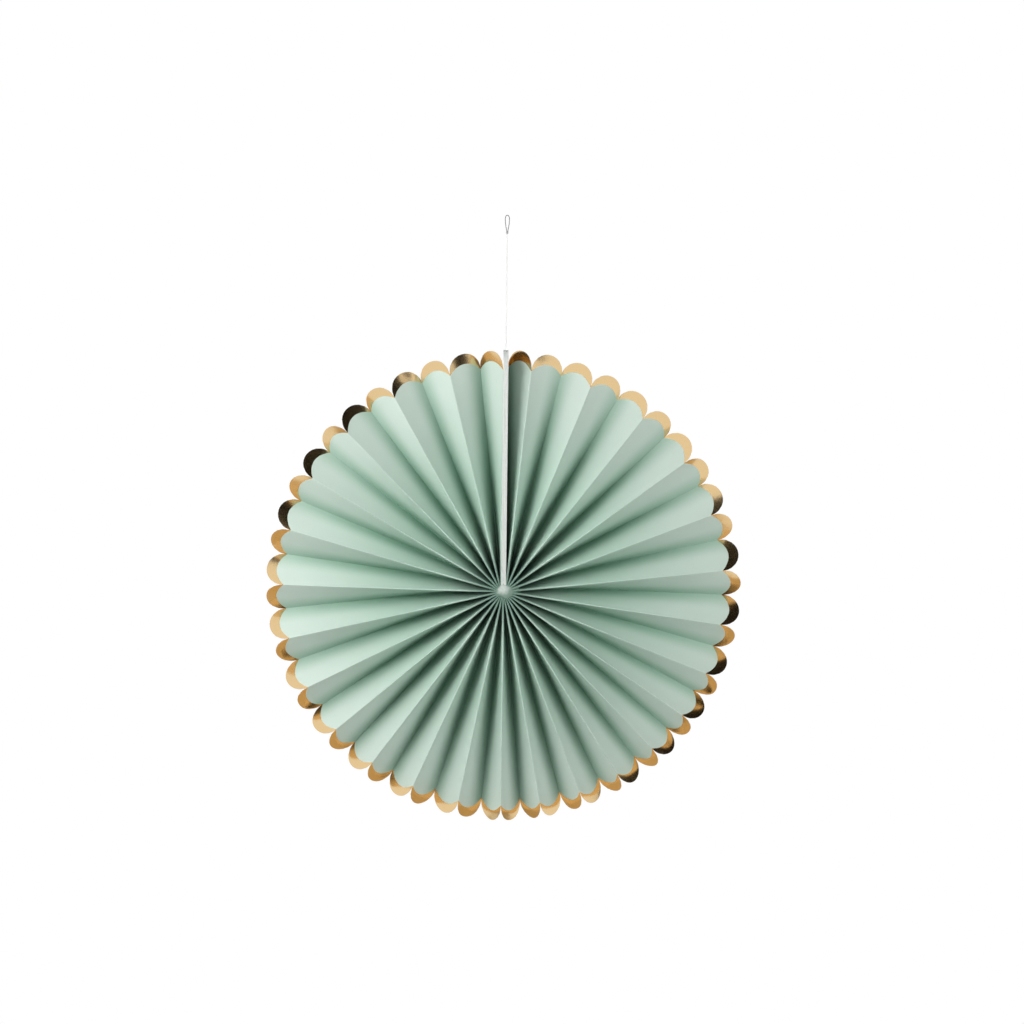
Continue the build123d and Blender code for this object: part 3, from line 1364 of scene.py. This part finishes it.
@dataclass
class Studio:
    """Floor, light, background and camera."""

    hub: Vector
    camera_distance: float = 1.6
    camera_height: float = 7.0
    camera_roll: float = 0.65
    lens: float = 88.0
    sensor_width: float = 36.0
    aim_aside: float = 0.005
    aim_above: float = 0.049
    floor_drop: float = 0.8
    floor_size: float = 8.0
    floor_colour: Colour = (0.8, 0.79, 0.77, 1)
    ambient: float = 0.02
    ambient_colour: Colour = (1.0, 0.99, 0.97, 1)
    dark: Colour = (0.008, 0.007, 0.006, 1)
    tan: Colour = (0.60, 0.44, 0.23, 1)
    card_roughness: float = 0.9

    def build(self) -> None:
        """Set the stage."""
        bpy.context.scene.view_settings.view_transform = "Standard"
        self.background()
        self.floor()
        for lamp in self.lamps():
            lamp.hang(self.hub)
        self.cards()
        self.camera()

    @staticmethod
    def lamps() -> list[Lamp]:
        """A strong light from the left, weak fills on the other sides, and two lamps for the back."""
        return [
            Lamp("softbox_left", -62, 26, 0.42, 2.35, distance=0.62),
            Lamp("softbox_low", -66, -16, 0.45, 0.75, distance=0.85),
            Lamp("softbox_front", -40, 18, 0.4, 5.0),
            Lamp("fill_right", 54, 2, 0.7, 6.6),
            Lamp("fill_front", 6, 14, 0.6, 1.8),
            Lamp("fill_above", -20, 58, 0.5, 1.4),
            Lamp("softbox_back", 146, 24, 0.9, 9.0),
            Lamp("fill_back", -150, 8, 0.8, 5.0),
        ]

    def cards(self) -> None:
        """Stand dark cards above, on the right and behind the camera, and a tan one below, for the foil."""
        dark, tan = (
            Graph(name).surface({"Base Color": colour, "Roughness": self.card_roughness})
            for name, colour in (("dark_card", self.dark), ("tan_card", self.tan))
        )
        for card in (
            Card("flag_above", (0.55, -0.125, 0.75), (1.3, 1.25)),
            Card("flag_aside", (0.9, -0.85, 0.93), (1.2, 0.74), (90, 0, 50)),
            Card("flag_level", (0.85, -0.9, 0.2), (0.65, 0.4), (90, 0, 44)),
            Card("flag_right", (1.1, 0.2, 0.5), (0.9, 0.8), (90, 0, 90)),
            Card("flag_front", (0, -2.0, 0.1), (1.0, 1.2), (90, 0, 0)),
        ):
            card.stand(self.hub, dark)
        Card("card_below", (0, 0.7, -0.45), (2.4, 1.7)).stand(self.hub, tan)

    @staticmethod
    def show(tree: bpy.types.NodeTree, seen: bpy.types.Node, unseen: bpy.types.Node, output: str) -> None:
        """Show one shader to rays from the camera, gloss and clear things, and another to the rest.

        Args:
            tree: The nodes of a material or of the world.
            seen: The shader for rays from the camera, gloss and clear things.
            unseen: The shader for the rest.
            output: The type of the tree's output node.
        """
        path = tree.nodes.new("ShaderNodeLightPath")
        total = path.outputs["Is Camera Ray"]
        for name in ("Is Glossy Ray", "Is Transmission Ray"):
            add = tree.nodes.new("ShaderNodeMath")
            add.operation = "ADD"
            add.use_clamp = True
            tree.links.new(total, add.inputs[0])
            tree.links.new(path.outputs[name], add.inputs[1])
            total = add.outputs[0]
        choice = tree.nodes.new("ShaderNodeMixShader")
        tree.links.new(total, choice.inputs[0])
        tree.links.new(unseen.outputs[0], choice.inputs[1])
        tree.links.new(seen.outputs[0], choice.inputs[2])
        tree.links.new(choice.outputs[0], tree.nodes.new(output).inputs["Surface"])

    def background(self) -> None:
        """White where it is seen, and a plain soft light elsewhere."""
        world = bpy.data.worlds.new("studio")
        world.use_nodes = True
        bpy.context.scene.world = world
        tree = world.node_tree
        tree.nodes.clear()
        seen, unseen = (tree.nodes.new("ShaderNodeBackground") for _ in range(2))
        seen.inputs["Color"].default_value = (1, 1, 1, 1)
        seen.inputs["Strength"].default_value = 1.0
        unseen.inputs["Color"].default_value = self.ambient_colour
        unseen.inputs["Strength"].default_value = self.ambient
        self.show(tree, seen, unseen, "ShaderNodeOutputWorld")

    def floor(self) -> None:
        """A plain pale floor, well below the fan."""
        deselect_all()
        below = (0, 0, self.hub.z - self.floor_drop)
        bpy.ops.mesh.primitive_plane_add(size=self.floor_size, location=below)
        floor = bpy.context.object
        floor.name = "floor"
        material = bpy.data.materials.new("pale_floor")
        material.use_nodes = True
        tree = material.node_tree
        tree.nodes.clear()
        pale, white = tree.nodes.new("ShaderNodeBsdfDiffuse"), tree.nodes.new("ShaderNodeEmission")
        pale.inputs["Color"].default_value = self.floor_colour
        white.inputs["Strength"].default_value = 1.0
        self.show(tree, white, pale, "ShaderNodeOutputMaterial")
        dress(floor, material)

    def camera(self) -> None:
        """The camera, at the photograph's angle."""
        tilt = math.radians(self.camera_height)
        back = Vector((0, -math.cos(tilt), math.sin(tilt)))
        aim = self.hub + Vector((self.aim_aside, 0, self.aim_above))
        deselect_all()
        bpy.ops.object.camera_add(location=aim + back * self.camera_distance)
        camera = bpy.context.object
        camera.data.lens = self.lens
        camera.data.sensor_width = self.sensor_width
        camera.rotation_mode = "QUATERNION"
        roll = Quaternion((0, 0, 1), math.radians(self.camera_roll))
        camera.rotation_quaternion = (-back).to_track_quat("-Z", "Y") @ roll
        bpy.context.scene.camera = camera


def main() -> None:
    """Build the pieces in order and set the stage."""
    logging.basicConfig(level=logging.INFO, format="%(name)s: %(message)s")
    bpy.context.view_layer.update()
    low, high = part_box("centre_tie")
    hub = (low + high) / 2
    hub.x = hub.y = 0.0
    plan = FoldPlan(hub_height=hub.z)

    pleats = PleatedStrip(plan)
    strip = pleats.build()
    hand_over(strip, "sage_paper", "pleated_fan")
    pleats.flat_area()

    board = PlainPaper("white_board", (0.66, 0.695, 0.665, 1), fibre_scale=900.0).make()
    for side in Side:
        hand_over(EndCard(plan, side).build(board), "white_card", f"end_card_{side.name.lower()}")
    dress(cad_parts["seam_tape"], Film().make())
    log.info("seam_tape: finished as it is")

    glue = SeamGlue(plan)
    dried = PlainPaper("dried_glue", (0.72, 0.75, 0.72, 1), roughness=0.85).make()
    for piece in (glue.bead(dried), glue.dab(HubGlue(plan).make())):
        hand_over(piece, "clear_tape")

    spun = SpunThread().make()
    hand_over(HubTie(plan).build(spun), "white_thread", "centre_tie")
    cord, knot = HangingThread(hang_length=-(hub.z + plan.fan_radius)).build(spun)
    hand_over(cord, "white_thread", "hanging_thread")
    hand_over(knot, "white_thread")

    Studio(hub).build()


if __name__ == "__main__":
    main()
